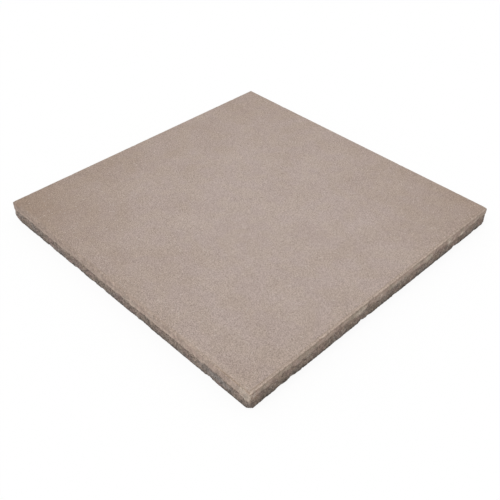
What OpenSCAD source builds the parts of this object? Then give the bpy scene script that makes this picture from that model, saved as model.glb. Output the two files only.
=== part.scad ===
// Concrete paving slab: a square pressed flag that lies on its bed.
// The wearing face is flat with a bevelled arris all round. The upper part of each edge is
// smooth and upright, and the lower part is a rough band, torn back behind the smooth edge,
// leaning in towards the bed and broken along its foot.
// Millimetres, +Z up, origin at the middle of the bed.

/* [Slab] */
// Length of the slab, along X
slab_length = 600; // [300:50:900]
// Width of the slab, along Y
slab_width = 600; // [300:50:900]
// Thickness from the bed to the wearing face
thickness = 38; // [34:1:65]
// Radius of the four upright corners
corner_radius = 2; // [1:0.5:5]

/* [Arris] */
// Width of the bevel, measured in from the edge on the wearing face
arris_width = 3.5; // [1.5:0.5:7]
// Depth of the bevel, measured down the edge
arris_depth = 3; // [1.5:0.5:7]

/* [Rough band] */
// Height of the rough band above the bed, to the middle of its torn upper line
band_height = 21; // [14:0.5:23]
// Step from the smooth edge back to the top of the rough band
band_step = 0.8; // [0.4:0.1:2.5]
// How much further back the rough band lies at the bed
band_lean = 1.6; // [0.4:0.1:5]
// Rise of the torn upper line above and below its middle
torn_rise = 3; // [0.5:0.25:3.5]
// Length of one tear in the torn upper line
tear_length = 7; // [5:0.5:20]
// Length of the slow wave that the torn upper line follows
torn_wave = 130; // [60:10:300]
// Reach of one tongue to either side of its middle, along the torn upper line
tongue_reach = 11; // [6:1:30]

/* [Broken foot] */
// Height of the tallest break along the lower edge
foot_height = 3; // [1:0.5:6]
// Depth of a break at the bed, measured in from the rough band
foot_depth = 3; // [1:0.5:8]
// Length of one break along the lower edge
foot_length = 9; // [6:0.5:30]

/* [Broken corners] */
// Reach of the larger broken lower corner along each edge
break_reach = 9; // [5:0.5:20]
// Height of the larger broken lower corner
break_height = 12; // [6:1:20]

/* [Arris chips] */
// Radius of the hollow that a chip leaves in the arris
chip_radius = 9; // [5:0.5:16]
// Depth of the deepest chip, measured square to the bevel
chip_depth = 1.4; // [0.5:0.1:2.5]

/* [Hidden] */
$fn = 48;

// Overrun of every cut past the faces that it leaves
overrun = 5;

// Colour of the dry concrete
concrete_colour = [0.70, 0.63, 0.58];

// Share of the torn line that follows the slow wave, the rest being its single tears
slow_share = 0.4;
// How far a tear strays along the edge, as a share of its length
stray_share = 0.35;
// Height of the rough band, rise of its torn line, lean of the band and height of the breaks
// along its foot, each on the -Y, +X, +Y and -X edges
height_shares = [1, 1.1, 1.05, 0.97];
rise_shares = [0.6, 1, 0.8, 0.7];
lean_shares = [0.35, 0.3, 0.5, 0.4];
foot_shares = [0.9, 1.3, 1, 1.1];
// Tongues of the torn line, each as its edge, its place along the edge and its rise:
// above zero the rough band reaches up, and below zero the smooth edge hangs down
tongue_shares = [
    [0, -0.34, -0.7], [0, 0.075, -0.9], [0, 0.36, 0.8], [0, 0.39, 0.9], [0, 0.49, -1.5],
    [1, -0.34, -1.3], [1, -0.11, -1.6], [1, -0.07, 1.2], [1, -0.015, -1.5],
    [1, 0.20, -1.7], [1, 0.33, -1.5], [1, 0.37, -1.6],
    [2, -0.27, -1.2], [2, 0.08, 0.8], [2, 0.41, -1.4],
    [3, -0.36, 0.9], [3, -0.12, -1.3], [3, 0.24, -1.0]
];
// Seeds of the torn line and of the foot on the -Y, +X, +Y and -X edges
band_seeds = [11, 23, 37, 58];
foot_seeds = [71, 84, 95, 106];
// Broken lower corners, each as the edge that it starts, its size and how much longer it is
// along that edge than along the edge before it
corner_shares = [[0, 0.8, 2.8], [1, 1, 1]];
// Depth and height of the hollow in a broken corner's face
hollow_shares = [0.7, 0.2];
// Chips in the arris, each as its edge, its place along the edge and its depth
chip_shares = [
    [0, -0.31, 0.5], [0, 0.12, 0.4],
    [1, -0.26, 1.0], [1, 0.07, 0.5], [1, 0.36, 0.7],
    [2, -0.18, 0.7], [2, 0.33, 0.9],
    [3, -0.40, 0.8], [3, 0.05, 0.6]
];

// Highest point that the rough band can reach
band_top = band_height * max(height_shares) + 2 * torn_rise;

// Edges are counted anticlockwise from -Y: 0 is -Y, 1 is +X, 2 is +Y and 3 is -X
edges = [0 : 3];
function edge_run(edge) = edge % 2 == 0 ? slab_length : slab_width;
function edge_reach(edge) = (edge % 2 == 0 ? slab_width : slab_length) / 2;

// How far the rough band lies behind the smooth edge at a height above the bed
function band_depth(edge, height) = band_step + band_lean * lean_shares[edge] * (1 - height / band_top);

// Places along an edge and past its ends, one tear apart, that stray to either side
function tear_places(edge, tear, seed) =
    let (
        run = edge_run(edge) + 2 * overrun,
        tears = ceil(run / tear),
        step = run / tears,
        strays = rands(-1, 1, tears + 1, seed)
    )
    [for (i = [0 : tears]) (i + stray_share * strays[i]) * step - run / 2];

// The sum of a list, from its item i on
function total(values, i = 0) = i < len(values) ? values[i] + total(values, i + 1) : 0;

// What the tongues add to the torn line at a place along an edge, as a share of its rise
function tongue_share(edge, place) = total([
    for (tongue = tongue_shares)
        if (tongue[0] == edge)
            tongue[2] * exp(-pow((place - tongue[1] * edge_run(edge)) / tongue_reach, 2))
]);

// The torn line between the smooth edge and the rough band
function torn_line(edge) =
    let (
        seed = band_seeds[edge],
        places = tear_places(edge, tear_length, seed + 1),
        tears = rands(-1, 1, len(places), seed)
    )
    [for (i = [0 : len(places) - 1])
        let (
            slow = sin(360 * places[i] / torn_wave + seed),
            ragged = slow_share * slow + (1 - slow_share) * tears[i],
            rise = torn_rise * (rise_shares[edge] * ragged + tongue_share(edge, places[i]))
        )
        [places[i], band_height * height_shares[edge] + rise]];

// The ragged top of the breaks along the foot, a few of them tall and most of them low.
// Where it dips below the bed the lower edge is whole.
function foot_line(edge) =
    let (
        seed = foot_seeds[edge],
        places = tear_places(edge, foot_length, seed + 1),
        breaks = rands(-1, 1, len(places), seed)
    )
    [for (i = [0 : len(places) - 1]) [places[i], foot_height * foot_shares[edge] * pow(breaks[i], 3)]];

// Puts its children on an edge: X runs along the edge, Y goes into the slab and Z goes up
module on_edge(edge) {
    rotate([0, 0, 90 * edge])
        translate([0, -edge_reach(edge), 0])
            children();
}

// Everything in front of a leaning face and below a ragged line
module torn_away(line, top, depth_at_top, depth_at_bed) {
    first = line[0][0];
    last = line[len(line) - 1][0];
    intersection() {
        translate([0, depth_at_bed + overrun, 0])
            rotate([90, 0, 0])
                linear_extrude(depth_at_bed + 2 * overrun)
                    polygon(concat(line, [[last, -overrun], [first, -overrun]]));
        translate([first - overrun, 0, 0])
            rotate([90, 0, 90])
                linear_extrude(last - first + 2 * overrun)
                    polygon([
                        [-overrun, -overrun],
                        [depth_at_bed, -overrun],
                        [depth_at_bed, 0],
                        [depth_at_top, top],
                        [-overrun, top]
                    ]);
    }
}

// Outline of the slab from above
module plan() {
    arc_x = slab_length / 2 - corner_radius;
    arc_y = slab_width / 2 - corner_radius;
    square([slab_length, 2 * arc_y], center = true);
    square([2 * arc_x, slab_width], center = true);
    for (x = [-arc_x, arc_x], y = [-arc_y, arc_y])
        translate([x, y])
            circle(corner_radius);
}

// What the bevelled arris takes off one edge
module arris_loss(edge) {
    run = edge_run(edge) + 2 * overrun;
    on_edge(edge)
        translate([-run / 2, 0, 0])
            rotate([90, 0, 90])
                linear_extrude(run)
                    polygon([
                        [-arris_width, thickness - 2 * arris_depth],
                        [2 * arris_width, thickness + arris_depth],
                        [-arris_width, thickness + arris_depth]
                    ]);
}

// What is torn off one edge to leave the rough band
module band_loss(edge) {
    on_edge(edge)
        torn_away(torn_line(edge), band_top, band_depth(edge, band_top), band_depth(edge, 0));
}

// What is broken off along the foot of one edge
module foot_loss(edge) {
    top = foot_height * foot_shares[edge];
    on_edge(edge)
        torn_away(foot_line(edge), top, band_depth(edge, top), band_depth(edge, 0) + foot_depth);
}

// What is broken off the lower corner at the start of an edge
module corner_loss(edge, size_share, run_share) {
    across = break_reach * size_share;
    along = across * run_share;
    reach = along * across / norm([along, across]);
    height = break_height * size_share;
    on_edge(edge)
        translate([-edge_run(edge) / 2, 0, 0])
            rotate([90, 0, atan2(along, across)])
                linear_extrude(2 * (along + across), center = true)
                    polygon([
                        [-overrun, -overrun],
                        [reach, -overrun],
                        [reach, 0],
                        [reach * hollow_shares[0], height * hollow_shares[1]],
                        [0, height],
                        [-overrun, height]
                    ]);
}

// The hollow of one chip, a ball that bites square into the bevel
module chip_loss(edge, place_share, depth_share) {
    bevel = norm([arris_width, arris_depth]);
    lift = chip_radius - chip_depth * depth_share;
    on_edge(edge)
        translate([
            edge_run(edge) * place_share,
            arris_width / 2 - lift * arris_depth / bevel,
            thickness - arris_depth / 2 + lift * arris_width / bevel
        ])
            sphere(chip_radius);
}

// The slab: its plan raised to the full thickness, less what its edges have lost
module slab() {
    color(concrete_colour)
        difference() {
            linear_extrude(thickness)
                plan();
            for (edge = edges) {
                arris_loss(edge);
                band_loss(edge);
                foot_loss(edge);
            }
            for (corner = corner_shares)
                corner_loss(corner[0], corner[1], corner[2]);
            for (chip = chip_shares)
                chip_loss(chip[0], chip[1], chip[2]);
        }
}

slab();
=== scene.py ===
import math
from functools import partial

import bpy
from bpy.props import FloatProperty, FloatVectorProperty, IntProperty, PointerProperty
from mathutils import Matrix, Vector
from mathutils.geometry import delaunay_2d_cdt


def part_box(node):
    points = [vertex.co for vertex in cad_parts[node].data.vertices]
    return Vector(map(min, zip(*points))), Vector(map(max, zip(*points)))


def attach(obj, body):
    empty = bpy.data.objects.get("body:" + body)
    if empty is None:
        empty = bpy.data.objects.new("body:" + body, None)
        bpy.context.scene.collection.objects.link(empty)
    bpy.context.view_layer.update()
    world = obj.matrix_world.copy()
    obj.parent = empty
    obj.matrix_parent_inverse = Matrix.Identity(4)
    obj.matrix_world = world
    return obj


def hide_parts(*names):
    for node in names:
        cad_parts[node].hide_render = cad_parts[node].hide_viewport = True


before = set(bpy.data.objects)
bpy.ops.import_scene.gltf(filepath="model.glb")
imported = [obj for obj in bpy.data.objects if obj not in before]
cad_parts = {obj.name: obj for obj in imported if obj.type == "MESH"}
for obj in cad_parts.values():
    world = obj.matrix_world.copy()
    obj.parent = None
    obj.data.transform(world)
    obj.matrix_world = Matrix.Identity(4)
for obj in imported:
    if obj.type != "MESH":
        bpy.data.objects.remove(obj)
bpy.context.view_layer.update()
SLAB_LOW, SLAB_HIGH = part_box("slab")
CAD_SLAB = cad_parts["slab"]

bl_info = {
    "name": "Concrete paving slab",
    "version": (1, 0, 0),
    "blender": (4, 5, 0),
    "location": "View3D > Sidebar > Paving",
    "description": "Dresses a cast concrete paving slab and sets it on a pale studio floor",
    "category": "Object",
}

MM = 0.001
SLAB_NAME = "paving_slab"
EDGES = 4
QUARTER_TURN = math.pi / 2
WHITE = (1.0, 1.0, 1.0, 1.0)

# A setting that is a length, and one that is a colour
LengthProperty = partial(FloatProperty, unit="LENGTH")
ColourProperty = partial(FloatVectorProperty, subtype="COLOR", min=0, max=1)

# Rings of points inside the rim of a face: one point to so many columns, and so many arris widths in
# from the slab's edge
RIM_RINGS = ((2, 2), (4, 3))
# How a rim is filled: only its inside, and points closer than this count as one
FILL_INSIDE = 1
MERGE_DISTANCE = 1e-7

# The lowest and the highest place at which the skin looks for the solid
CAST_HEIGHTS = (SLAB_LOW.z + 0.05 * MM, SLAB_HIGH.z - 0.01 * MM)
# How far back the solid lies where the smooth edge ends, and where the rough band is in full
STEP_BACK = (0.3 * MM, 0.75 * MM)
# Heights over which the rough band fades out at the latest
BAND_TOP = (29 * MM, 31 * MM)
# Heights over which the torn line starts to wander, and over which it stops
WANDER_FROM = (2 * MM, 5 * MM)
WANDER_TO = (28 * MM, 31 * MM)
# Steps up and down over which the torn line is softened
SOFT_STEPS = tuple(step * MM for step in (-6, -4, -2, 2, 4, 6))
# Direction in which the seed shifts the relief's chance patterns
SEED_SHIFT = (1.0, 0.7, 0.3)
# What the skin tells the finish about each of its points
SKIN_ATTRIBUTES = ("rough", "soft", "hollow", "crumbly", "arris")

# The finish measures in millimetres: half the slab's side, and the height of its wearing face
HALF_SIDE = SLAB_HIGH.x / MM
FACE = SLAB_HIGH.z / MM
# Height in millimetres above which the foot no longer darkens the rough band, but for its patches
LOW_BAND = 22
# How the brown staining and the painted shade of the light's falloff grow along the two diagonals
# of the face, first the one on which x and y grow together: with the square of the way from the
# middle, and in proportion to that way
STAIN_AND_SHADE_DIAGONALS = ((0.60, -0.08), (0.28, -0.05))
# How far the single grains are shaken out of line, and over what length
GRAIN_SHAKE = 2 * MM
GRAIN_SHAKE_SIZE = 1.8 * MM
# How deep into the slab a single mark reaches and how far its outline wavers, in millimetres, and
# over what length it wavers
MARK_DEPTH = 8
MARK_WAVER = 1.5
MARK_WAVER_SIZE = 5 * MM
# Single marks on the two edges that show: colour, then in millimetres the place along the edge,
# the height above the bed, the reach along the edge and the reach up and down, then the strength
MINUS_Y_MARKS = (
    ("mark_brown", -284, 37, 11, 4, 0.5),
    ("skin", -297, 15, 6, 7, 0.55),
    ("mark_pale_and_glint", -255, 23, 12, 4, 0.25),
    ("mark_pale_and_glint", 25, 22, 12, 6, 0.3),
    ("mark_pale_and_glint", 45, 27, 12, 4, 0.25),
    ("mark_pale_and_glint", 46, 21, 12, 4, 0.3),
    ("mark_dark", -20, 20, 16, 4, 0.15),
    ("band_grey", 236, 12, 40, 9, 0.6),
    ("mark_dark", 234, 22, 26, 5, 0.25),
    ("mark_pale_and_glint", 286, 31, 13, 8, 0.55),
    # A painted highlight on a ledge of the -Y edge near the near corner
    ("mark_pale_and_glint", 287, 18.5, 10, 4, 0.9),
    ("mark_pale_and_glint", 292, 23, 6, 5, 0.6),
    ("mark_pale_and_glint", 299, 26, 3.5, 13, 0.55),
    ("mark_dark", 294, 7, 9, 8, 0.25),
)
PLUS_X_MARKS = (
    ("mark_brown", -296, 22, 2.6, 11, 0.75),
    ("mark_dark", -296, 20, 3, 6, 0.35),
    ("mark_dark", -295, 10, 9, 10, 0.5),
    ("mark_dark", -277, 20, 17, 9, 0.3),
    ("mark_pale_and_glint", -291, 28, 2.6, 9, 0.65),
    ("mark_brown", -286, 19, 6, 6, 0.7),
    ("mark_olive", -272, 29, 15, 7, 0.5),
    ("mark_red", -249, 27, 10, 7, 0.5),
    ("mark_red", -191, 28, 8, 7, 0.35),
    ("mark_olive", -168, 30, 15, 6, 0.5),
    ("mark_red", -118, 29, 22, 7, 0.5),
    ("mark_pale_and_glint", -175, 19, 14, 4, 0.3),
    ("mark_pale_and_glint", -60, 27, 18, 6, 0.4),
    ("mark_pale_and_glint", -56, 21, 14, 5, 0.35),
    ("mark_dark", -42, 28, 3, 5, 0.6),
    ("mark_olive", -16, 26, 8, 8, 0.4),
    ("mark_dark", -14, 22, 10, 5, 0.3),
    ("mark_pale_and_glint", -8, 27, 2.5, 4, 0.6),
    ("mark_red", 6, 27, 8, 9, 0.45),
    ("mark_pale_and_glint", 32, 24, 22, 7, 0.3),
    ("mark_pale_and_glint", 56, 19, 20, 4, 0.25),
    ("mark_pale_and_glint", 86, 27, 14, 5, 0.25),
    ("mark_pale_and_glint", 122, 26, 18, 5, 0.35),
    ("mark_pale_and_glint", 126, 21, 12, 5, 0.4),
    ("mark_dark", 141, 30, 3, 5, 0.5),
    ("mark_red", 163, 26, 15, 9, 0.55),
    ("mark_pale_and_glint", 183, 31, 10, 4, 0.4),
    ("mark_pale_and_glint", 186, 20, 11, 5, 0.6),
    ("mark_pale_and_glint", 184, 25, 6, 5, 0.8),
    ("mark_pale_and_glint", 197, 24, 4, 3, 0.6),
    ("mark_pale_and_glint", 224, 21, 12, 5, 0.5),
    ("mark_pale_and_glint", 221, 22, 7, 4, 0.8),
    ("mark_pale_and_glint", 247, 26, 3, 3, 0.5),
    ("mark_pale_and_glint", 266, 28, 14, 6, 0.35),
    ("mark_olive", 288, 28, 10, 8, 0.35),
)


class SlabMeshSettings(bpy.types.PropertyGroup):
    """How finely the slab's skin is divided."""

    column_pitch: LengthProperty(
        name="Column pitch", description="Spacing of the skin's columns along an edge",
        default=1.4 * MM, min=0.5 * MM)
    row_pitch: LengthProperty(
        name="Row pitch", description="Spacing of the skin's rows up an edge",
        default=1.1 * MM, min=0.5 * MM)
    foot_pitch: LengthProperty(
        name="Foot pitch", description="Spacing of the skin's rows along the broken foot",
        default=0.6 * MM, min=0.2 * MM)
    foot_height: LengthProperty(
        name="Foot height", description="Height up to which the foot's rows are this fine",
        default=3.6 * MM, min=1 * MM)
    crease: LengthProperty(
        name="Crease", description="Distance of the rows that hold the rims of the arris and of the bed",
        default=0.45 * MM, min=0.1 * MM)
    corner_reach: LengthProperty(
        name="Corner reach", description="How far from each corner the columns begin to fan out",
        default=15 * MM, min=5 * MM)
    corner_columns: IntProperty(
        name="Corner columns", description="Columns in the fan round each corner", default=28, min=4)
    arris_width: LengthProperty(
        name="Arris width", description="Width of the bevel on the wearing face",
        default=3.5 * MM, min=0.5 * MM)
    arris_depth: LengthProperty(
        name="Arris depth", description="Depth of the bevel down the edge",
        default=3 * MM, min=0.5 * MM)
    face_pitch: LengthProperty(
        name="Face pitch", description="Spacing of the points inside the wearing face and the bed",
        default=7 * MM, min=2 * MM)


class SlabReliefSettings(bpy.types.PropertyGroup):
    """The relief that the slab's skin has beyond its moulded and broken shape."""

    seed: FloatProperty(
        name="Seed", description="Shifts every chance pattern of the relief", default=3)
    smooth_height: LengthProperty(
        name="Smooth height", description="Height at which every edge is smooth and upright",
        default=33 * MM)
    wander: LengthProperty(
        name="Wander", description="How far the torn line wanders up and down between its tears",
        default=1.6 * MM)
    wander_size: LengthProperty(
        name="Wander size", description="Length of one wander of the torn line",
        default=5 * MM)
    lump_depth: LengthProperty(
        name="Lump depth", description="Depth of the lumps of aggregate in the rough band",
        default=3.2 * MM)
    lump_size: LengthProperty(
        name="Lump size", description="Size of the lumps of aggregate in the rough band",
        default=6 * MM)
    grit_depth: LengthProperty(
        name="Grit depth", description="Depth of the grit between the lumps",
        default=1.8 * MM)
    grit_size: LengthProperty(
        name="Grit size", description="Size of the grit between the lumps",
        default=3.4 * MM)
    skin_depth: LengthProperty(
        name="Skin depth", description="Unevenness of the smooth edge and of the arris",
        default=0.4 * MM)
    skin_size: LengthProperty(
        name="Skin size", description="Size of the unevenness of the smooth edge",
        default=8 * MM)
    crumb_depth: LengthProperty(
        name="Crumb depth", description="Depth of the crumbly patches of the smooth +X edge",
        default=1.2 * MM)
    crumb_size: LengthProperty(
        name="Crumb size", description="Length of the crumbly patches of the smooth +X edge",
        default=28 * MM)
    nick_depth: LengthProperty(
        name="Nick depth", description="Depth of the small nicks along the arris",
        default=0.8 * MM)
    nick_size: LengthProperty(
        name="Nick size", description="Length of the small nicks along the arris",
        default=7 * MM)
    swell: LengthProperty(
        name="Swell", description="How far the -Y edge's rough band stands out towards its -X end",
        default=0.8 * MM)
    face_depth: LengthProperty(
        name="Face depth", description="Unevenness of the wearing face and the bed",
        default=0.3 * MM)
    face_size: LengthProperty(
        name="Face size", description="Size of the unevenness of the wearing face and the bed",
        default=45 * MM)


class SlabPatternSettings(bpy.types.PropertyGroup):
    """Sizes of the chance patterns in the concrete's colour."""

    cloud_size: LengthProperty(
        name="Cloud size", description="Size of the clouds in the brown stain",
        default=60 * MM, min=5 * MM)
    hue_size: LengthProperty(
        name="Hue size", description="Size of the rosy patches of the wearing face",
        default=34 * MM, min=5 * MM)
    mottle_size: LengthProperty(
        name="Mottle size", description="Size of the red mottling of the smooth edge",
        default=16 * MM, min=2 * MM)
    wear_size: LengthProperty(
        name="Wear size", description="Length of the worn stretches of the arris",
        default=25 * MM, min=2 * MM)
    patch_size: LengthProperty(
        name="Patch size", description="Size of the dark patches of the rough band",
        default=20 * MM, min=2 * MM)
    red_size: LengthProperty(
        name="Red size", description="Size of the reddish patches of the rough band",
        default=19 * MM, min=2 * MM)
    grey_size: LengthProperty(
        name="Grey size", description="Size of the grey patches of the rough band",
        default=26 * MM, min=2 * MM)
    ragged_size: LengthProperty(
        name="Ragged size", description="Size of the rags along the torn line and of the band's grit",
        default=3.3 * MM, min=0.5 * MM)
    fleck_size: LengthProperty(
        name="Fleck size", description="Size of the faint flecks on the edges",
        default=7 * MM, min=1 * MM)
    sand_size: LengthProperty(
        name="Sand size", description="Size of the coarser sand",
        default=1.5 * MM, min=0.2 * MM)
    fine_size: LengthProperty(
        name="Fine sand size", description="Size of the finer sand",
        default=0.9 * MM, min=0.2 * MM)
    grain_size: LengthProperty(
        name="Grain size", description="Spacing of the cells that may hold a dark or a pale grain",
        default=2.6 * MM, min=0.5 * MM)


class SlabColourSettings(bpy.types.PropertyGroup):
    """Colours of the dry concrete, as linear values."""

    face: ColourProperty(
        name="Wearing face", description="Middle of the wearing face",
        default=(0.4445, 0.361, 0.315))
    face_rosy: ColourProperty(
        name="Rosy patches", description="Slightly redder patches of the wearing face",
        default=(0.4415, 0.358, 0.323))
    # Colour of the real brown staining. It also paints the shade of the light's falloff towards the
    # face's corners and the thin painted shade lines along the arris, and browns the +X rough band
    rim: ColourProperty(
        name="Stained rim", description="Wearing face where it is stained brown towards its corners",
        default=(0.264, 0.182, 0.121))
    skin: ColourProperty(
        name="Smooth edge", description="Smooth upper part of the edges",
        default=(0.449, 0.354, 0.298))
    skin_red: ColourProperty(
        name="Reddish patches", description="Redder patches of the smooth edge",
        default=(0.420, 0.320, 0.269))
    # Duller towards the corners with the staining and its painted shade of the light's falloff
    skin_dull: ColourProperty(
        name="Dull edge", description="Smooth edge and arris where they are dull towards the corners",
        default=(0.262, 0.198, 0.162))
    arris: ColourProperty(
        name="Arris", description="Bevel between the smooth edge and the wearing face",
        default=(0.405, 0.318, 0.264))
    # Pale of the worn arris, which also paints the highlight on the arris ridge, on the -Y rim near the
    # corner and along the smooth edge's lip
    arris_wear_and_highlight: ColourProperty(
        name="Worn arris", description="Ridge of the arris where it is worn pale",
        default=(0.530, 0.428, 0.355))
    band: ColourProperty(
        name="Rough band", description="Rough lower part of the edges, below its torn line",
        default=(0.342, 0.265, 0.217))
    band_low: ColourProperty(
        name="Rough foot", description="Rough lower part of the edges, along its foot",
        default=(0.240, 0.198, 0.170))
    band_red: ColourProperty(
        name="Reddish band", description="Reddish patches of the rough band",
        default=(0.315, 0.228, 0.205))
    band_grey: ColourProperty(
        name="Grey band", description="Grey patches of the rough band",
        default=(0.270, 0.246, 0.232))
    # Painted shade in the hollows of the rough band, which is also the colour of the dark grains where
    # the concrete is torn
    hollow_shade_and_dark_grit: ColourProperty(
        name="Dark hollows", description="Hollows between the grit of the rough band",
        default=(0.100, 0.082, 0.070))
    grain_dark: ColourProperty(
        name="Dark grains", description="Dark grains of sand",
        default=(0.200, 0.155, 0.130))
    grain_pale: ColourProperty(
        name="Pale grains", description="Pale grains of sand",
        default=(0.620, 0.550, 0.490))
    # Pale lumps and worn places, and also the painted highlight where a ledge of an edge catches the
    # light
    mark_pale_and_glint: ColourProperty(
        name="Pale marks", description="Pale lumps and worn places on the edges",
        default=(0.560, 0.480, 0.400))
    mark_brown: ColourProperty(
        name="Brown marks", description="Brown stains on the edges",
        default=(0.300, 0.205, 0.150))
    mark_red: ColourProperty(
        name="Reddish marks", description="Reddish patches of the edges",
        default=(0.330, 0.238, 0.198))
    mark_olive: ColourProperty(
        name="Olive marks", description="Olive grey patches of the edges",
        default=(0.350, 0.300, 0.232))
    mark_dark: ColourProperty(
        name="Dark marks", description="Dark stains on the edges",
        default=(0.150, 0.125, 0.110))


class StageSettings(bpy.types.PropertyGroup):
    """The floor, the light and the camera."""

    camera_azimuth: FloatProperty(
        name="Azimuth", description="Turn of the camera about the slab, from looking along +Y",
        default=math.radians(44.457), subtype="ANGLE")
    camera_elevation: FloatProperty(
        name="Elevation", description="Height of the camera above the horizon",
        default=math.radians(40.372), subtype="ANGLE")
    camera_roll: FloatProperty(
        name="Roll", description="Roll of the camera about its view",
        default=math.radians(-1.075), subtype="ANGLE")
    camera_distance: LengthProperty(
        name="Distance", description="Distance of the camera from the middle of the bed",
        default=1.324927)
    camera_right: LengthProperty(
        name="Shift right", description="How far the camera stands to the right of the bed's middle",
        default=0.638 * MM)
    camera_up: LengthProperty(
        name="Shift up", description="How far the camera stands above the bed's middle, across its view",
        default=-52.794 * MM)
    camera_lens: FloatProperty(
        name="Lens", description="Focal length in millimetres on a 36 mm sensor", default=52.5205)
    floor_size: LengthProperty(
        name="Floor size", description="Width of the floor", default=12)
    floor_gap: LengthProperty(
        name="Floor gap", description="How far the floor lies below the bed",
        default=0.2 * MM)
    floor_colour: ColourProperty(
        name="Floor colour", description="Colour of the pale floor",
        default=(0.75, 0.75, 0.75))
    floor_glow: FloatProperty(
        name="Floor glow", description="Share of the floor's whiteness that no shadow darkens",
        default=0.88, min=0, max=1, subtype="FACTOR")
    sky_strength: FloatProperty(
        name="Sky strength", description="Even light from all round", default=0.7)
    key_strength: FloatProperty(
        name="Key strength", description="Light from the key lamp", default=1.05)
    key_azimuth: FloatProperty(
        name="Key azimuth", description="Turn of the key lamp about the slab, from the -Y edge",
        default=math.radians(0), subtype="ANGLE")
    key_elevation: FloatProperty(
        name="Key elevation", description="Height of the key lamp above the horizon",
        default=math.radians(64), subtype="ANGLE")
    key_spread: FloatProperty(
        name="Key spread", description="Apparent size of the key lamp, which softens its shadow",
        default=math.radians(35), subtype="ANGLE")


class PavingSettings(bpy.types.PropertyGroup):
    """All settings of the paving slab."""

    mesh: PointerProperty(type=SlabMeshSettings)
    relief: PointerProperty(type=SlabReliefSettings)
    pattern: PointerProperty(type=SlabPatternSettings)
    colour: PointerProperty(type=SlabColourSettings)
    stage: PointerProperty(type=StageSettings)


class Wire:
    """The output of a node, which takes part in Python expressions."""

    def __init__(self, graph, socket):
        self.graph = graph
        self.socket = socket

    def __getitem__(self, name):
        """Another output of the same node."""
        return Wire(self.graph, find_socket(self.socket.node.outputs, name))

    def math(self, operation, *others):
        """A number worked out from this one and the others."""
        return self.graph.math(operation, self, *others)

    def __add__(self, other):
        return self.math("ADD", other)

    __radd__ = __add__

    def __mul__(self, other):
        return self.math("MULTIPLY", other)

    __rmul__ = __mul__

    def __sub__(self, other):
        return self.math("SUBTRACT", other)

    def __rsub__(self, other):
        return self.graph.math("SUBTRACT", other, self)

    def __truediv__(self, other):
        return self.math("DIVIDE", other)

    def __rtruediv__(self, other):
        return self.graph.math("DIVIDE", other, self)

    def clamped(self, low, high):
        """The number, held between low and high."""
        return self.math("MAXIMUM", low).math("MINIMUM", high)

    def ramp(self, low, high):
        """0 below low and 1 above high, with a smooth rise between them."""
        return self.graph.node(
            "ShaderNodeMapRange", {"interpolation_type": "SMOOTHSTEP"},
            {"Value": self, "From Min": low, "From Max": high})

    def fall(self, low, high):
        """1 below low and 0 above high, with a smooth fall between them."""
        return 1 - self.ramp(low, high)

    def between(self, rise_from, rise_to, fall_from, fall_to):
        """0 outside the outer two levels and 1 between the inner two, smoothly."""
        return self.ramp(rise_from, rise_to) * self.fall(fall_from, fall_to)


def find_socket(sockets, key):
    """A node's socket by its number, or the one in use by its name."""
    if isinstance(key, int):
        return sockets[key]
    return next(s for s in sockets if s.name == key and s.enabled)


class Graph:
    """A node tree that is written as Python expressions."""

    def __init__(self, tree):
        self.tree = tree

    def node(self, kind, settings=None, values=None):
        """Adds a node, sets its settings and then its sockets, and returns its first output in use."""
        made = self.tree.nodes.new(kind)
        for name, setting in (settings or {}).items():
            setattr(made, name, setting)
        for key, value in (values or {}).items():
            socket = find_socket(made.inputs, key)
            if isinstance(value, Wire):
                self.tree.links.new(value.socket, socket)
            else:
                socket.default_value = value
        outputs = [s for s in made.outputs if s.enabled]
        return Wire(self, outputs[0]) if outputs else None

    def math(self, operation, *values):
        """A number worked out from one or more numbers."""
        return self.node("ShaderNodeMath", {"operation": operation}, dict(enumerate(values)))

    def vector(self, operation, *values):
        """A vector worked out from one or more vectors."""
        return self.node("ShaderNodeVectorMath", {"operation": operation}, dict(enumerate(values)))

    def scaled(self, vector, factor):
        """A vector times a number."""
        return self.node(
            "ShaderNodeVectorMath", {"operation": "SCALE"}, {"Vector": vector, "Scale": factor})

    def xyz(self, vector):
        """The three parts of a vector."""
        parts = self.node("ShaderNodeSeparateXYZ", None, {"Vector": vector})
        return parts["X"], parts["Y"], parts["Z"]

    def noise(self, where, size, detail=2.0, roughness=0.5):
        """Smooth noise from 0 to 1 whose features are about size long."""
        return self.node("ShaderNodeTexNoise", None, {
            "Vector": where, "Scale": 1 / size, "Detail": detail, "Roughness": roughness})

    def mixed(self, factor, first, second, blend="MIX"):
        """Two colours mixed by a factor."""
        return self.node(
            "ShaderNodeMix", {"data_type": "RGBA", "blend_type": blend},
            {"Factor": factor, "A": first, "B": second})

    def laid(self, base, *layers):
        """A colour with others laid over it in turn, each given as (strength, colour)."""
        for strength, colour in layers:
            base = self.mixed(strength, base, opaque(colour))
        return base

    def grey(self, level):
        """A grey of that level."""
        return self.node("ShaderNodeCombineColor", None, {"Red": level, "Green": level, "Blue": level})


def empty_graph(owner):
    """The graph of a material or a world, cleared of the nodes that it starts with."""
    owner.use_nodes = True
    owner.node_tree.nodes.clear()
    return Graph(owner.node_tree)


def opaque(colour):
    """A colour property as the four numbers that a colour socket takes."""
    return (*colour, 1.0)


def number_properties(group):
    """The number properties of a group of settings, which a tree takes as its named inputs."""
    return [item for item in group.bl_rna.properties if item.type == "FLOAT"]


def behind_rim(x, y, half_side):
    """How far a point lies behind the rim of the slab, seen from above."""
    return half_side - x.math("ABSOLUTE").math("MAXIMUM", y.math("ABSOLUTE"))


def spaced(start, end, pitch):
    """Even steps of about one pitch from start up to, but without, end."""
    count = max(1, round((end - start) / pitch))
    return [start + (end - start) * i / count for i in range(count)]


def clearance(settings):
    """How far a column of the blank stands from its foot, which is clear of the slab."""
    return 2 * settings.corner_reach


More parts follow.
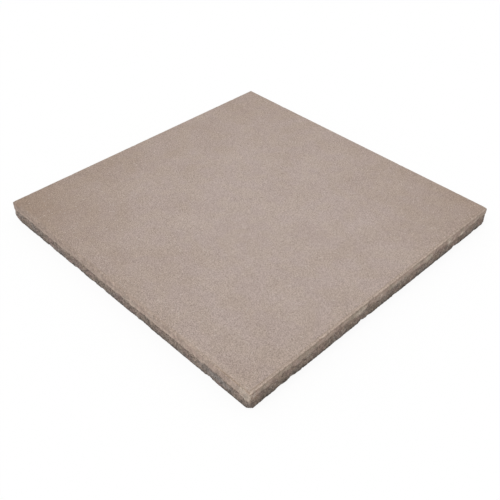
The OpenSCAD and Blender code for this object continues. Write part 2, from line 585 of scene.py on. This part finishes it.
def rim_columns(settings):
    """(foot, outward direction) of each column of the skin, anticlockwise from the -X end of the
    -Y edge. A column on a straight edge points square to it, and at a corner the columns fan out."""
    inset_x = SLAB_HIGH.x - settings.corner_reach
    inset_y = SLAB_HIGH.y - settings.corner_reach
    corners = [
        Vector((-inset_x, -inset_y)), Vector((inset_x, -inset_y)),
        Vector((inset_x, inset_y)), Vector((-inset_x, inset_y))]
    turn = QUARTER_TURN / settings.corner_columns
    columns = []
    for edge in range(EDGES):
        start = corners[edge]
        end = corners[(edge + 1) % EDGES]
        angle = (edge - 1) * QUARTER_TURN
        count = round((end - start).length / settings.column_pitch)
        places = [(start.lerp(end, i / count), angle) for i in range(count)]
        places += [(end, angle + i * turn) for i in range(settings.corner_columns)]
        columns += [(foot, Vector((math.cos(a), math.sin(a)))) for foot, a in places]
    return columns


def skin_rows(settings):
    """(height, inset) of each row of the skin, from the bed to the wearing face. The first and the
    last row lie a little way in from their rim, so that the rim stays crisp under smooth shading."""
    bed = SLAB_LOW.z
    face = SLAB_HIGH.z
    foot = bed + settings.foot_height
    arris = face - settings.arris_depth
    crease = settings.crease
    heights = spaced(bed, foot, settings.foot_pitch)
    heights += spaced(foot, arris - crease, settings.row_pitch)
    heights += spaced(arris - crease, arris + crease, crease)
    heights += spaced(arris + crease, face - crease, settings.row_pitch)
    heights += [face - crease, face]
    return [(bed, crease), *((height, 0.0) for height in heights), (face, crease)]


def wall_faces(rows, columns):
    """The four-sided faces between that many rows of columns, which close up all round."""
    faces = []
    for row in range(rows - 1):
        low = row * columns
        high = low + columns
        for i in range(columns):
            after = (i + 1) % columns
            faces.append((low + i, low + after, high + after, high + i))
    return faces


def inner_points(settings, columns):
    """Points inside a face: rings that thin out the rim's columns, then an even grid."""
    reach = settings.corner_reach
    points = []
    for thinning, inset in RIM_RINGS:
        points += [foot + outward * (reach - inset * settings.arris_width)
                   for foot, outward in columns[::thinning]]
    edge_x = SLAB_HIGH.x - reach
    edge_y = SLAB_HIGH.y - reach
    count_x = round(2 * edge_x / settings.face_pitch)
    count_y = round(2 * edge_y / settings.face_pitch)
    points += [
        Vector((edge_x * (2 * i / count_x - 1), edge_y * (2 * j / count_y - 1)))
        for i in range(count_x + 1) for j in range(count_y + 1)]
    return points


def face_triangles(rim, inner):
    """Triangles that fill a rim and the points inside it, as indices into the two lists joined."""
    count = len(rim)
    edges = [(i, (i + 1) % count) for i in range(count)]
    filled = delaunay_2d_cdt(rim + inner, edges, [], FILL_INSIDE, MERGE_DISTANCE)
    triangles = filled[2]
    sources = filled[3]
    return [[sources[i][0] for i in triangle] for triangle in triangles]


def blank_mesh(settings):
    """The skin before it is cast: columns that stand clear of the slab all round, and two filled
    faces. The attribute outward holds each column's direction, and is zero inside the faces. The
    attribute inset holds how far behind the slab's rim a point is to lie."""
    columns = rim_columns(settings)
    rows = skin_rows(settings)
    count = len(columns)
    clear = clearance(settings)
    points = [(*(foot + outward * clear), z) for z, inset in rows for foot, outward in columns]
    outwards = [(*outward, 0.0) for row in rows for foot, outward in columns]
    insets = [inset for z, inset in rows for column in columns]
    faces = wall_faces(len(rows), count)

    rim_reach = settings.corner_reach - settings.arris_width - settings.crease
    rim = [foot + outward * rim_reach for foot, outward in columns]
    inner = inner_points(settings, columns)
    triangles = face_triangles(rim, inner)
    top_row = (len(rows) - 1) * count
    for first_rim, height, turned in ((top_row, SLAB_HIGH.z, False), (0, SLAB_LOW.z, True)):
        first_inner = len(points) - count
        points += [(*point, height) for point in inner]
        outwards += [(0.0, 0.0, 0.0)] * len(inner)
        insets += [0.0] * len(inner)
        for triangle in triangles:
            face = [first_rim + i if i < count else first_inner + i for i in triangle]
            faces.append(face[::-1] if turned else face)

    mesh = bpy.data.meshes.new(SLAB_NAME)
    mesh.from_pydata(points, [], faces)
    directions = mesh.attributes.new("outward", "FLOAT_VECTOR", "POINT")
    directions.data.foreach_set("vector", [part for vector in outwards for part in vector])
    mesh.attributes.new("inset", "FLOAT", "POINT").data.foreach_set("value", insets)
    return mesh


class BlankPoint:
    """What casting reads at a point of the blank: its place, its column's direction and its inset."""

    def __init__(self, g, settings, seed):
        self.position = g.node("GeometryNodeInputPosition")
        self.x, self.y, self.z = g.xyz(self.position)
        self.outward = g.node(
            "GeometryNodeInputNamedAttribute", {"data_type": "FLOAT_VECTOR"}, {"Name": "outward"})
        self.outward_x, self.outward_y, _ = g.xyz(self.outward)
        self.inward = g.scaled(self.outward, -1.0)
        self.on_edge = g.vector("LENGTH", self.outward)["Value"]
        self.inset = g.node(
            "GeometryNodeInputNamedAttribute", {"data_type": "FLOAT"}, {"Name": "inset"})
        near = g.vector("ADD", self.position, g.scaled(self.inward, settings.corner_reach))
        self.near = g.vector("ADD", near, g.scaled(SEED_SHIFT, seed))


def torn_line(g, at, size, solid, ray_length):
    """How far a column's ray goes to the smooth edge and how far behind that the solid lies, then the
    attributes rough and soft."""

    def behind(height):
        """How far a ray from a column at that height goes before it meets the solid."""
        start = g.node("ShaderNodeCombineXYZ", None, {"X": at.x, "Y": at.y, "Z": height})
        hit = g.node("GeometryNodeRaycast", None, {
            "Target Geometry": solid, "Source Position": start,
            "Ray Direction": at.inward, "Ray Length": ray_length})
        return hit["Hit Distance"]

    smooth_face = behind(size["smooth_height"])

    def recess_at(height):
        """How far the solid lies behind the smooth edge at that height."""
        return behind(height.clamped(*CAST_HEIGHTS)) - smooth_face

    def torn_at(height, recess):
        """1 in the rough band and 0 on the smooth edge."""
        return recess.ramp(*STEP_BACK) * height.fall(*BAND_TOP)

    # The torn line wanders between its tears, but the foot and the arris stay where they are
    free = at.z.between(*WANDER_FROM, *WANDER_TO)
    wandering = at.z + (g.noise(at.near, size["wander_size"]) - 0.5) * 2 * size["wander"] * free
    recess = recess_at(wandering)
    rough = torn_at(at.z, recess)
    nearby = [wandering + step for step in SOFT_STEPS]
    soft = sum(torn_at(height, recess_at(height)) for height in nearby) + rough
    return smooth_face, recess, rough, soft / (len(nearby) + 1)


def rough_relief(at, size, lumps, grit):
    """Depth of the rough band's lumps and grit, which are flatter along the foot. Towards its -X end
    the -Y edge's band swells out."""
    depth = (lumps - 0.5) * size["lump_depth"] + (grit - 0.5) * size["grit_depth"]
    depth = depth * (0.4 + 0.6 * at.z.ramp(0.0, 6 * MM))
    swollen = at.x.fall(-200 * MM, 60 * MM) * at.outward_y.fall(-0.9, -0.3)
    return depth - swollen * at.z.fall(4 * MM, 16 * MM) * size["swell"]


def smooth_relief(g, at, size, crumbs):
    """Depth of the smooth edge's unevenness, of the nicks along its arris and of its crumbs."""
    uneven = g.noise(at.near, size["skin_size"], 1.0) * at.z.ramp(0.0, 1 * MM)
    nicks = g.noise(at.near, size["nick_size"]).ramp(0.58, 0.72) * at.z.ramp(33 * MM, 35 * MM)
    return uneven * size["skin_depth"] + nicks * size["nick_depth"] + crumbs * size["crumb_depth"]


def face_sink(g, at, size):
    """How the wearing face and the bed sink, each into the slab, away from their rims."""
    off_rim = behind_rim(at.x, at.y, SLAB_HIGH.x).ramp(4 * MM, 40 * MM) * (1 - at.on_edge)
    sink = g.noise(at.position, size["face_size"], 1.0) * size["face_depth"] * off_rim
    upper = at.z.ramp(SLAB_LOW.z, SLAB_HIGH.z)
    return g.node("ShaderNodeCombineXYZ", None, {"Z": sink * (1 - 2 * upper)})


def edge_tree(relief, settings):
    """The tree that casts the skin onto the slab's solid and roughens it. It leaves attributes for
    the finish: rough, 1 in the rough band; soft, the same with a slow change at the torn line;
    hollow, how deep a point lies in the relief, which the finish paints as shade; crumbly, 1 in
    crumbly patches; and arris, 1 on the bevel."""
    tree = bpy.data.node_groups.new("cast_and_torn_edge", "GeometryNodeTree")
    tree.interface.new_socket("Geometry", in_out="OUTPUT", socket_type="NodeSocketGeometry")
    lengths = number_properties(relief)
    inputs = [("Geometry", "NodeSocketGeometry"), ("Solid", "NodeSocketObject"),
              ("Finish", "NodeSocketMaterial")]
    inputs += [(length.name, "NodeSocketFloat") for length in lengths]
    for name, kind in inputs:
        tree.interface.new_socket(name, in_out="INPUT", socket_type=kind)
    g = Graph(tree)
    given = g.node("NodeGroupInput")
    size = {length.identifier: given[length.name] for length in lengths}
    solid = g.node("GeometryNodeObjectInfo", None, {"Object": given["Solid"]})["Geometry"]
    at = BlankPoint(g, settings, size["seed"])
    smooth_face, recess, rough, soft = torn_line(g, at, size, solid, clearance(settings))

    # Each point goes back to the solid and further, by the depth of its relief
    lumps = g.noise(at.near, size["lump_size"], 1.0)
    grit = g.node("ShaderNodeTexVoronoi", {"feature": "SMOOTH_F1"}, {
        "Vector": at.near, "Scale": 1 / size["grit_size"], "Smoothness": 0.35})["Distance"]
    crumbly = g.noise(at.near, size["crumb_size"], 1.0).ramp(0.48, 0.60)
    crumbly = crumbly * at.outward_x.ramp(0.3, 0.9) * at.z.fall(32 * MM, 36 * MM)
    crumbs = crumbly * (0.5 * lumps + 0.5 * grit)
    roughened = rough * rough_relief(at, size, lumps, grit)
    roughened = roughened + (1 - rough) * smooth_relief(g, at, size, crumbs)
    depth = (recess + roughened).math("MAXIMUM", 0.0) + smooth_face + at.inset
    moved = g.vector("ADD", g.scaled(at.inward, depth * at.on_edge), face_sink(g, at, size))

    # How deep a point lies in the relief, which the finish turns into painted shade in the hollows
    hollow = rough.math("MAXIMUM", crumbly) * (lumps + grit)
    bevel = at.z.ramp(34.4 * MM, 35.2 * MM) * at.inset.fall(0.0, 0.2 * MM)
    skin = given["Geometry"]
    for name, value in zip(SKIN_ATTRIBUTES, (rough, soft, hollow, crumbly, bevel)):
        skin = g.node("GeometryNodeStoreNamedAttribute", {"data_type": "FLOAT", "domain": "POINT"}, {
            "Geometry": skin, "Name": name, "Value": value * at.on_edge})
    skin = g.node("GeometryNodeSetPosition", None, {"Geometry": skin, "Offset": moved})
    skin = g.node("GeometryNodeRealizeInstances", None, {"Geometry": skin})
    skin = g.node("GeometryNodeSetMaterial", None, {"Geometry": skin, "Material": given["Finish"]})
    g.node("NodeGroupOutput", None, {"Geometry": skin})
    return tree


class SkinPoint:
    """What the finish reads at a point of the skin. Its x, y and z are in millimetres."""

    def __init__(self, g, pattern):
        self.g = g
        self.pattern = pattern
        self.place = g.node("ShaderNodeTexCoord")["Object"]
        self.measured = g.scaled(self.place, 1 / MM)
        self.x, self.y, self.z = g.xyz(self.measured)
        self.rough, self.soft, self.hollow, self.crumbly, self.arris = [
            g.node("ShaderNodeAttribute", {"attribute_name": name})["Fac"] for name in SKIN_ATTRIBUTES]
        self.off_face = self.z.fall(FACE - 2, FACE - 0.6)

        # 1 on the +X edge
        past_corners = (self.x - self.y.math("ABSOLUTE")).ramp(-0.5, 0.5)
        self.plus_x = self.x.ramp(HALF_SIDE - 8, HALF_SIDE - 4) * past_corners

        # 1 where the face is stained brown and has painted shade of the light's falloff, which is
        # towards its corners and in clouds
        ways = ((self.x + self.y) / (2 * HALF_SIDE), (self.x - self.y) / (2 * HALF_SIDE))
        growth = sum(
            square * way * way + straight * way
            for way, (square, straight) in zip(ways, STAIN_AND_SHADE_DIAGONALS))
        clouds = self.noise("cloud_size", 3.0, 0.55) - 0.5
        self.stain_and_shade = (growth + clouds * 0.45).clamped(0.0, 1.0)

        # 1 below the torn line, which is ragged, and softer on the +X edge
        self.ragged = self.noise("ragged_size", 3.0, 0.6) - 0.5
        torn = self.rough + (self.soft - self.rough) * (0.2 + 0.5 * self.plus_x) + self.ragged * 0.9
        self.torn = torn.ramp(0.32 - 0.2 * self.plus_x, 0.75 - 0.1 * self.plus_x)

        # 1 along the foot of the rough band, in patches
        patches = self.noise("patch_size") - 0.5
        self.low = (1 - self.z / LOW_BAND + patches * 1.6).clamped(0.0, 1.0)

    def noise(self, size_name, detail=2.0, roughness=0.5):
        """Noise of one of the pattern's sizes."""
        return self.g.noise(self.place, getattr(self.pattern, size_name), detail, roughness)


def stained_and_shaded_face(g, at, colour):
    """The wearing face: two close hues in patches, stained brown and with painted shade of the
    light's falloff towards the corners.
    """
    rosy = at.noise("hue_size", 1.0).ramp(0.38, 0.62)
    face = g.mixed(rosy, opaque(colour.face), opaque(colour.face_rosy))
    return g.laid(face, (at.stain_and_shade, colour.rim))


def smooth_edge(g, at, colour):
    """The smooth edge: mottled red, duller towards the corners with the staining and its painted shade,
    and pale along its lower lip and below the arris, with wear and a painted highlight."""
    mottle = at.noise("mottle_size").ramp(0.40, 0.60)
    skin = g.mixed(mottle, opaque(colour.skin), opaque(colour.skin_red))
    # The lip along the torn line and the strip below the arris are paler: partly wear, partly a painted
    # highlight
    lip = at.soft.ramp(0.0, 0.25) * (1 - at.rough) + at.z.ramp(31, 35) * 0.5
    lip = lip * (1 - at.plus_x)
    return g.laid(
        skin,
        (at.stain_and_shade * 0.7, colour.skin_dull),
        (at.plus_x * 0.36, colour.mark_red),
        (at.crumbly * 0.6, colour.mark_olive),
        (lip * (0.45 - 0.45 * at.stain_and_shade), colour.arris_wear_and_highlight))


def arris_wear_and_painted_light(g, at, colour, smooth):
    """The bevel over the smooth edge, duller with the staining and its painted shade. On the +X edge its
    ridge is pale with wear and a painted highlight, between two thin lines of painted shade. Towards
    the near corner the -Y rim of the face has a painted highlight, with a thin line of painted shade
    on its bevel."""
    bevel = g.mixed(at.stain_and_shade * 0.9, opaque(colour.arris), opaque(colour.skin_dull))
    smooth = g.mixed(at.arris * 0.9, smooth, bevel)

    # The ridge's pale is partly wear and partly a painted highlight
    ridge = at.z.between(34.7, 35.4, 36.4, 37.2)
    worn = at.plus_x * at.noise("wear_size").ramp(0.2, 0.5) * (1 - at.stain_and_shade)
    # Thin lines of painted shade along the creases above and below the +X arris
    shade_line_over = behind_rim(at.x, at.y, HALF_SIDE).between(2.4, 3.0, 3.6, 5.4) * at.plus_x
    shade_line_over = shade_line_over * (0.03 + 0.14 * at.y.ramp(190, 260) + 0.25 * at.y.fall(-285, -230))
    shade_line_under = at.z.between(31, 33, 34.2, 35) * at.plus_x * (0.3 - 0.12 * at.y / HALF_SIDE)

    # Near the near corner: a painted highlight on the -Y rim, with a thin line of painted shade on its
    # bevel
    from_minus_y = at.y + HALF_SIDE
    rim_highlight = from_minus_y.fall(7, 12) * at.x.ramp(60, 240) * at.z.ramp(34, 35.5)
    rim_shade_line = from_minus_y.between(0.4, 1, 1.8, 2.6) * at.x.ramp(215, 250)
    return g.laid(
        smooth,
        (at.arris * worn * (0.2 + 0.42 * ridge), colour.arris_wear_and_highlight),
        (shade_line_over + shade_line_under, colour.rim),
        (rim_highlight * 0.25, colour.arris_wear_and_highlight),
        (rim_shade_line * 0.45, colour.rim))


def rough_band(g, at, colour):
    """The rough band: darker along its foot, red and grey in patches, browner on the +X edge, and
    dark with painted shade in its hollows."""
    return g.laid(
        g.mixed(at.low, opaque(colour.band), opaque(colour.band_low)),
        (at.noise("red_size", 1.0).ramp(0.52, 0.64) * 0.6, colour.band_red),
        (at.noise("grey_size", 1.0).ramp(0.50, 0.62) * 0.4, colour.band_grey),
        (at.plus_x * 0.2, colour.rim),
        # Painted shade in the hollows of the relief
        (at.hollow.ramp(0.8, 1.5) * (0.6 - 0.2 * at.plus_x), colour.hollow_shade_and_dark_grit))


def single_marks(g, at, colour, body):
    """Single marks on the edges, with wavering outlines."""
    waver = g.scaled(g.noise(at.place, MARK_WAVER_SIZE)["Color"], 2 * MARK_WAVER)
    bent = g.vector("SUBTRACT", g.vector("ADD", at.measured, waver), (MARK_WAVER,) * 3)
    marks = [(tint, (run, -HALF_SIDE, rise), (reach, MARK_DEPTH, lift), strength)
             for tint, run, rise, reach, lift, strength in MINUS_Y_MARKS]
    marks += [(tint, (HALF_SIDE, run, rise), (MARK_DEPTH, reach, lift), strength)
              for tint, run, rise, reach, lift, strength in PLUS_X_MARKS]
    for tint, middle, spread, strength in marks:
        offset = g.vector("DIVIDE", g.vector("SUBTRACT", bent, middle), spread)
        mark = g.vector("LENGTH", offset)["Value"].fall(0.4, 1.0)
        body = g.laid(body, (mark * strength, getattr(colour, tint)))
    return body


def sand_tone(at, sand, fine):
    """How bright the sand makes each point: it is coarser where the concrete is torn, and darker
    along the foot."""
    flecks = at.noise("fleck_size") - 0.5
    foot = at.z.fall(1, 7)
    tone = 1 + 1.75 * (sand - 0.5) + (fine - 0.5) + at.off_face * flecks
    tone = tone + at.torn * at.ragged * (1.9 - 0.8 * at.plus_x)
    tone = tone + at.off_face * at.plus_x * (0.045 - 0.05 * at.torn - 0.12 * at.low * at.torn)
    return tone - at.torn * (0.03 + 0.12 * at.stain_and_shade) - foot * (0.25 + 0.1 * at.plus_x)


def single_grains(g, at, colour, body):
    """A few dark and a few pale grains, with more of them where the concrete is torn."""
    shake = g.scaled(g.noise(at.place, GRAIN_SHAKE_SIZE)["Color"], GRAIN_SHAKE)
    cells = g.node("ShaderNodeTexVoronoi", {"feature": "F1"}, {
        "Vector": g.vector("ADD", at.place, shake), "Scale": 1 / at.pattern.grain_size})
    draw = g.node("ShaderNodeSeparateColor", None, {"Color": cells["Color"]})
    inside = (cells["Distance"] / (0.25 + 0.3 * draw["Blue"])).fall(0.7, 1.1)
    scarce = 0.91 - 0.13 * at.torn
    darker = inside * draw["Red"].ramp(scarce, scarce + 0.03) * (0.45 + 0.2 * at.torn)
    paler = inside * draw["Green"].ramp(scarce, scarce + 0.03) * 0.45
    dark_grain = g.mixed(at.torn, opaque(colour.grain_dark), opaque(colour.hollow_shade_and_dark_grit))
    return g.laid(g.mixed(darker, body, dark_grain), (paler, colour.grain_pale))


def concrete_finish(pattern, colour):
    """Dry sandy concrete: a taupe face that is stained and has painted shade of the light's
    falloff towards its corners, and a darker rough band with painted shade in its hollows.
    """
    material = bpy.data.materials.new("concrete")
    g = empty_graph(material)
    at = SkinPoint(g, pattern)
    on_face = at.z.ramp(FACE - 4, FACE - 1)
    smooth = g.mixed(on_face, smooth_edge(g, at, colour), stained_and_shaded_face(g, at, colour))
    smooth = arris_wear_and_painted_light(g, at, colour, smooth)
    body = g.mixed(at.torn, smooth, rough_band(g, at, colour))
    body = single_marks(g, at, colour, body)

    sand = at.noise("sand_size", 2.0, 0.6)
    fine = at.noise("fine_size", 1.0)
    body = g.mixed(1.0, body, g.grey(sand_tone(at, sand, fine)), "MULTIPLY")
    body = single_grains(g, at, colour, body)

    height = sand * (0.5 + at.rough) + fine * 0.4 + at.torn * at.ragged * 2
    bump = g.node("ShaderNodeBump", None, {"Strength": 0.5, "Distance": 0.6 * MM, "Height": height})
    shader = g.node("ShaderNodeBsdfPrincipled", None, {
        "Base Color": body, "Roughness": 0.86 + 0.1 * sand, "Normal": bump, "Specular IOR Level": 0.25})
    g.node("ShaderNodeOutputMaterial", None, {"Surface": shader})
    return material


def set_inputs(modifier, values):
    """Sets the inputs of a modifier's tree, each by its socket's identifier."""
    for item in modifier.node_group.interface.items_tree:
        if item.in_out == "INPUT" and item.name in values:
            modifier[item.identifier] = values[item.name]


class PAVING_OT_make_slab(bpy.types.Operator):
    """Casts the slab's skin onto its solid, roughens its torn edges and gives it its concrete finish"""

    bl_idname = "paving.make_slab"
    bl_label = "Make paving slab"

    def execute(self, context):
        settings = context.scene.paving
        relief = settings.relief
        blank = bpy.data.objects.new(SLAB_NAME + "_blank", blank_mesh(settings.mesh))
        context.scene.collection.objects.link(blank)
        modifier = blank.modifiers.new("cast", "NODES")
        modifier.node_group = edge_tree(relief, settings.mesh)
        given = {length.name: getattr(relief, length.identifier) for length in number_properties(relief)}
        given["Solid"] = CAD_SLAB
        given["Finish"] = concrete_finish(settings.pattern, settings.colour)
        set_inputs(modifier, given)
        shown = context.evaluated_depsgraph_get()
        mesh = bpy.data.meshes.new_from_object(blank.evaluated_get(shown))
        bpy.data.objects.remove(blank)
        if not mesh.polygons:
            raise RuntimeError("The slab's skin came out with no faces")
        for helper in ("outward", "inset"):
            mesh.attributes.remove(mesh.attributes[helper])
        mesh.name = SLAB_NAME
        mesh.shade_smooth()
        slab = bpy.data.objects.new(SLAB_NAME, mesh)
        context.scene.collection.objects.link(slab)
        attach(slab, "root")
        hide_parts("slab")
        return {"FINISHED"}


def seen_straight(g):
    """1 for a ray that comes to the camera directly, by reflection or through glass."""
    seen = g.node("ShaderNodeLightPath")
    straight = seen["Is Camera Ray"] + seen["Is Glossy Ray"] + seen["Is Transmission Ray"]
    return straight.clamped(0.0, 1.0)


def floor_finish(colour, glow):
    """Pale matt floor that reads white where it is lit and keeps the slab's shadow."""
    material = bpy.data.materials.new("floor")
    g = empty_graph(material)
    straight = seen_straight(g)
    matt = g.node("ShaderNodeBsdfDiffuse", None, {"Color": g.mixed(straight, opaque(colour), WHITE)})
    white = g.node("ShaderNodeEmission", None, {"Color": WHITE})
    both = g.node("ShaderNodeMixShader", None, {0: straight * glow, 1: matt, 2: white})
    g.node("ShaderNodeOutputMaterial", None, {"Surface": both})
    return material


def pale_world(strength):
    """Even light from all round, with a white background."""
    world = bpy.data.worlds.new("studio")
    g = empty_graph(world)
    light = g.node("ShaderNodeBackground", None, {
        "Color": WHITE, "Strength": strength + seen_straight(g) * (1 - strength)})
    g.node("ShaderNodeOutputWorld", None, {"Surface": light})
    return world


def view_axes(azimuth, elevation):
    """Right, up and back of something that looks at the slab."""
    back = Vector((
        math.sin(azimuth) * math.cos(elevation),
        -math.cos(azimuth) * math.cos(elevation),
        math.sin(elevation)))
    right = Vector((math.cos(azimuth), math.sin(azimuth), 0))
    return right, back.cross(right), back


def turned_to(right, up, back):
    """The turn of a lamp or a camera that has these axes."""
    return Matrix((right, up, back)).transposed().to_4x4()


def lay_floor(scene, stage):
    """A wide pale floor, just below the bed."""
    reach = stage.floor_size / 2
    height = SLAB_LOW.z - stage.floor_gap
    corners = [(-reach, -reach), (reach, -reach), (reach, reach), (-reach, reach)]
    mesh = bpy.data.meshes.new("floor")
    mesh.from_pydata([(x, y, height) for x, y in corners], [], [(0, 1, 2, 3)])
    mesh.materials.append(floor_finish(stage.floor_colour, stage.floor_glow))
    floor = bpy.data.objects.new("floor", mesh)
    scene.collection.objects.link(floor)


def hang_key_lamp(scene, stage):
    """One broad lamp, high over the -Y edge."""
    lamp = bpy.data.lights.new("key", "SUN")
    lamp.energy = stage.key_strength
    lamp.angle = stage.key_spread
    key = bpy.data.objects.new("key", lamp)
    key.matrix_world = turned_to(*view_axes(stage.key_azimuth, stage.key_elevation))
    scene.collection.objects.link(key)


def stand_camera(scene, stage):
    """The camera, over the near corner, with the slab filling its frame."""
    lens = bpy.data.cameras.new("camera")
    lens.lens = stage.camera_lens
    camera = bpy.data.objects.new("camera", lens)
    right, up, back = view_axes(stage.camera_azimuth, stage.camera_elevation)
    cosine = math.cos(stage.camera_roll)
    sine = math.sin(stage.camera_roll)
    camera.matrix_world = turned_to(cosine * right - sine * up, sine * right + cosine * up, back)
    camera.location = (
        stage.camera_right * right + stage.camera_up * up + stage.camera_distance * back)
    scene.collection.objects.link(camera)
    scene.camera = camera


class PAVING_OT_make_stage(bpy.types.Operator):
    """Lays the pale floor, sets the light and stands the camera where the slab fills its frame"""

    bl_idname = "paving.make_stage"
    bl_label = "Make stage"

    def execute(self, context):
        scene = context.scene
        stage = scene.paving.stage
        lay_floor(scene, stage)
        scene.world = pale_world(stage.sky_strength)
        hang_key_lamp(scene, stage)
        stand_camera(scene, stage)
        scene.view_settings.view_transform = "Standard"
        return {"FINISHED"}


class PAVING_PT_slab(bpy.types.Panel):
    """Lists the slab's settings and the steps that make it"""

    bl_idname = "PAVING_PT_slab"
    bl_label = "Paving slab"
    bl_space_type = "VIEW_3D"
    bl_region_type = "UI"
    bl_category = "Paving"

    def draw(self, context):
        layout = self.layout
        settings = context.scene.paving
        for group_name in settings.__annotations__:
            group = getattr(settings, group_name)
            box = layout.box()
            for name in group.__annotations__:
                box.prop(group, name)
        layout.operator(PAVING_OT_make_stage.bl_idname)
        layout.operator(PAVING_OT_make_slab.bl_idname)


CLASSES = (
    SlabMeshSettings, SlabReliefSettings, SlabPatternSettings, SlabColourSettings, StageSettings,
    PavingSettings, PAVING_OT_make_slab, PAVING_OT_make_stage, PAVING_PT_slab)


def register():
    for item in CLASSES:
        bpy.utils.register_class(item)
    bpy.types.Scene.paving = PointerProperty(type=PavingSettings)


def unregister():
    del bpy.types.Scene.paving
    for item in reversed(CLASSES):
        bpy.utils.unregister_class(item)


def main():
    register()
    bpy.ops.paving.make_stage()
    bpy.ops.paving.make_slab()


if __name__ == "__main__":
    main()
